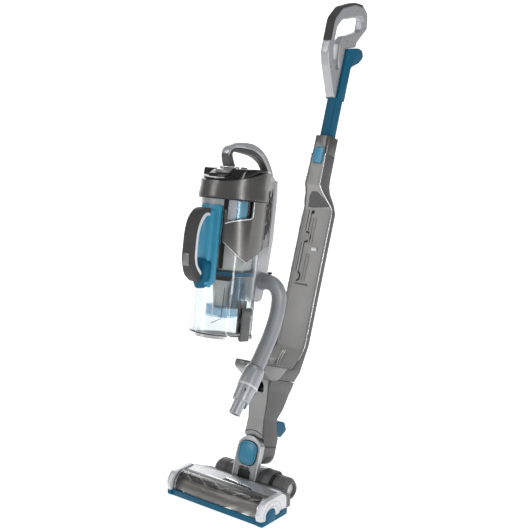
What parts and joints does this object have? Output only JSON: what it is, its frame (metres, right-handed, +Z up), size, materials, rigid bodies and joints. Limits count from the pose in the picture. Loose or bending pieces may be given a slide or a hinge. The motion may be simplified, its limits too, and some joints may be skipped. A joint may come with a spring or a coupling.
{
  "type": "cordless stick vacuum",
  "caption": "Cordless stick vacuum: powered floor head, swivelling docking spine with telescopic handle, and a lift-off suction unit with hose and emptying bin.",
  "frame": {"origin": "centre of the glide pad's underside, on the floor under the middle of the floor head", "axes": "+X to the vacuum's right (the hose side), -Y to the front of the floor head, +Z up from the floor"},
  "size_m": [0.27, 0.6338, 1.079],
  "materials": {
    "dark_shell": "satin",
    "grey_shell": "satin metallic",
    "silver_shell": "satin metallic",
    "white_trim": "gloss",
    "teal": "satin",
    "soft_black": "soft touch",
    "gloss_black": "gloss",
    "smoke_clear": "clear",
    "clear": "clear",
    "pale_blue": "translucent",
    "brush_core": "satin",
    "bristle": "nylon tufts",
    "motor_steel": "plain",
    "motor_can": "plain",
    "board": "satin",
    "sole": "satin",
    "switch_grey": "satin",
    "hose_grey": "ribbed"
  },
  "bodies": {
    "floor_head": {"head_shell": "dark_shell", "sole_plate": "sole", "glide_pad": "soft_black", "head_cover": "silver_shell", "rear_cover": "dark_shell", "head_window": "smoke_clear", "front_bumper": "teal", "end_cap_left": "white_trim", "end_cap_right": "white_trim", "cap_bumpers": "teal", "brush_motor": "motor_can", "drive_belt": "soft_black", "head_pins": "motor_steel"},
    "brush": {"brush_roll": "brush_core", "brush_bristles": "bristle"},
    "drive_pulley": {"motor_pulley": "brush_core"},
    "wheel_left": {"rear_wheel_left": "soft_black"},
    "wheel_right": {"rear_wheel_right": "soft_black"},
    "rollers": {"front_rollers": "soft_black"},
    "yoke": {"yoke": "silver_shell", "swivel_disc": "teal"},
    "spine": {"neck": "dark_shell", "neck_panel": "grey_shell", "suction_duct": "grey_shell", "shelf": "grey_shell", "tray_back": "dark_shell", "tray_front": "grey_shell", "dock_rails": "gloss_black", "dock_hook": "white_trim", "wand_collar": "dark_shell"},
    "pedal": {"foot_pedal": "teal"},
    "toe": {"dock_toe": "grey_shell"},
    "release": {"release_button": "teal"},
    "wand_latch": {"latch_button": "teal"},
    "upper_wand": {"upper_tube": "teal", "handle_frame": "silver_shell", "handle_grip": "soft_black"},
    "portable_unit": {"housing": "dark_shell", "top_panel": "gloss_black", "carry_handle": "silver_shell", "back_piece": "silver_shell", "suction_motor": "motor_can", "battery_pack": "gloss_black", "circuit_board": "board", "filter_cup": "pale_blue", "cyclone": "pale_blue", "hose": "hose_grey", "hose_collar": "silver_shell", "nozzle": "silver_shell"},
    "switch": {"power_switch": "switch_grey"},
    "fan": {"impeller": "motor_can"},
    "bin": {"dust_bowl": "clear", "bowl_panel": "teal", "bowl_grip": "soft_black"},
    "bin_button": {"bowl_button": "switch_grey"},
    "door": {"bin_door": "gloss_black"},
    "door_latch": {"bin_latch": "gloss_black"},
    "nozzle_lever": {"nozzle_latch": "teal"}
  },
  "joints": [
    {"name": "brush_spin", "type": "hinge", "parent": "floor_head", "child": "brush", "pos_m": [0, -0.085, 0.0233], "axis": [1, 0, 0], "continuous": true},
    {"name": "pulley_spin", "type": "hinge", "parent": "floor_head", "child": "drive_pulley", "pos_m": [-0.109, -0.03, 0.026], "axis": [1, 0, 0], "continuous": true},
    {"name": "wheel_left_spin", "type": "hinge", "parent": "floor_head", "child": "wheel_left", "pos_m": [-0.083, 0.023, 0.026], "axis": [1, 0, 0], "continuous": true},
    {"name": "wheel_right_spin", "type": "hinge", "parent": "floor_head", "child": "wheel_right", "pos_m": [0.083, 0.023, 0.026], "axis": [1, 0, 0], "continuous": true},
    {"name": "roller_spin", "type": "hinge", "parent": "floor_head", "child": "rollers", "pos_m": [0, -0.046, 0.007], "axis": [1, 0, 0], "continuous": true},
    {"name": "recline", "type": "hinge", "parent": "floor_head", "child": "yoke", "pos_m": [0, 0.02, 0.045], "axis": [-1, 0, 0], "range_deg": [0, 50]},
    {"name": "swivel", "type": "hinge", "parent": "yoke", "child": "spine", "pos_m": [0, 0.03367, 0.08471], "axis": [0, -0.9455, 0.3256], "range_deg": [-60, 60]},
    {"name": "pedal_press", "type": "hinge", "parent": "spine", "child": "pedal", "pos_m": [0, 0.06804, 0.13845], "axis": [-1, 0, 0], "range_deg": [0, 8], "stiffness_Nm_per_rad": 1.5, "springref_deg": -5.73},
    {"name": "handle_slide", "type": "slide", "parent": "spine", "child": "upper_wand", "axis": [0, 0.3256, 0.9455], "range_m": [-0.068, 0]},
    {"name": "wand_latch_press", "type": "slide", "parent": "spine", "child": "wand_latch", "axis": [0, 0.9455, -0.3256], "range_m": [0, 0.003], "stiffness_N_per_m": 600, "springref_m": -0.003},
    {"name": "release_press", "type": "slide", "parent": "spine", "child": "release", "axis": [0, -0.9455, 0.3256], "range_m": [0, 0.003], "stiffness_N_per_m": 600, "springref_m": -0.003},
    {"name": "dock_tip", "type": "hinge", "parent": "spine", "child": "toe", "pos_m": [0, 0.01268, 0.29712], "axis": [1, 0, 0], "range_deg": [-9.7, 0]},
    {"name": "dock_slide", "type": "slide", "parent": "toe", "child": "portable_unit", "axis": [0, -0.7745, 0.6326], "range_m": [-0.131, 0]},
    {"name": "bin_drop", "type": "slide", "parent": "portable_unit", "child": "bin", "axis": [0, -0.1616, -0.9869], "range_m": [0, 0.04]},
    {"name": "door_swing", "type": "hinge", "parent": "bin", "child": "door", "pos_m": [-0.07, -0.09035, 0.38995], "axis": [0, 0.9869, -0.1616], "range_deg": [0, 95]},
    {"name": "door_latch_press", "type": "hinge", "parent": "bin", "child": "door_latch", "pos_m": [0.06884, -0.09048, 0.42645], "axis": [-0.0872, -0.9831, 0.161], "range_deg": [0, 4], "stiffness_Nm_per_rad": 0.4, "springref_deg": -5.73},
    {"name": "bin_button_press", "type": "slide", "parent": "bin", "child": "bin_button", "axis": [0, 0.9869, -0.1616], "range_m": [0, 0.003], "stiffness_N_per_m": 600, "springref_m": -0.003},
    {"name": "power_slide", "type": "slide", "parent": "portable_unit", "child": "switch", "axis": [1, 0, 0], "range_m": [0, 0.0135]},
    {"name": "fan_spin", "type": "hinge", "parent": "portable_unit", "child": "fan", "pos_m": [0, -0.05351, 0.61495], "axis": [0, 0.1616, 0.9869], "continuous": true},
    {"name": "nozzle_lever_press", "type": "hinge", "parent": "portable_unit", "child": "nozzle_lever", "pos_m": [0.066, -0.08222, 0.25984], "axis": [1, 0, 0], "range_deg": [0, 6], "stiffness_Nm_per_rad": 0.3, "springref_deg": -5.73}
  ],
  "couplings": [
    {"joint": "pulley_spin", "follows": "brush_spin", "ratio": 2.5}
  ]
}
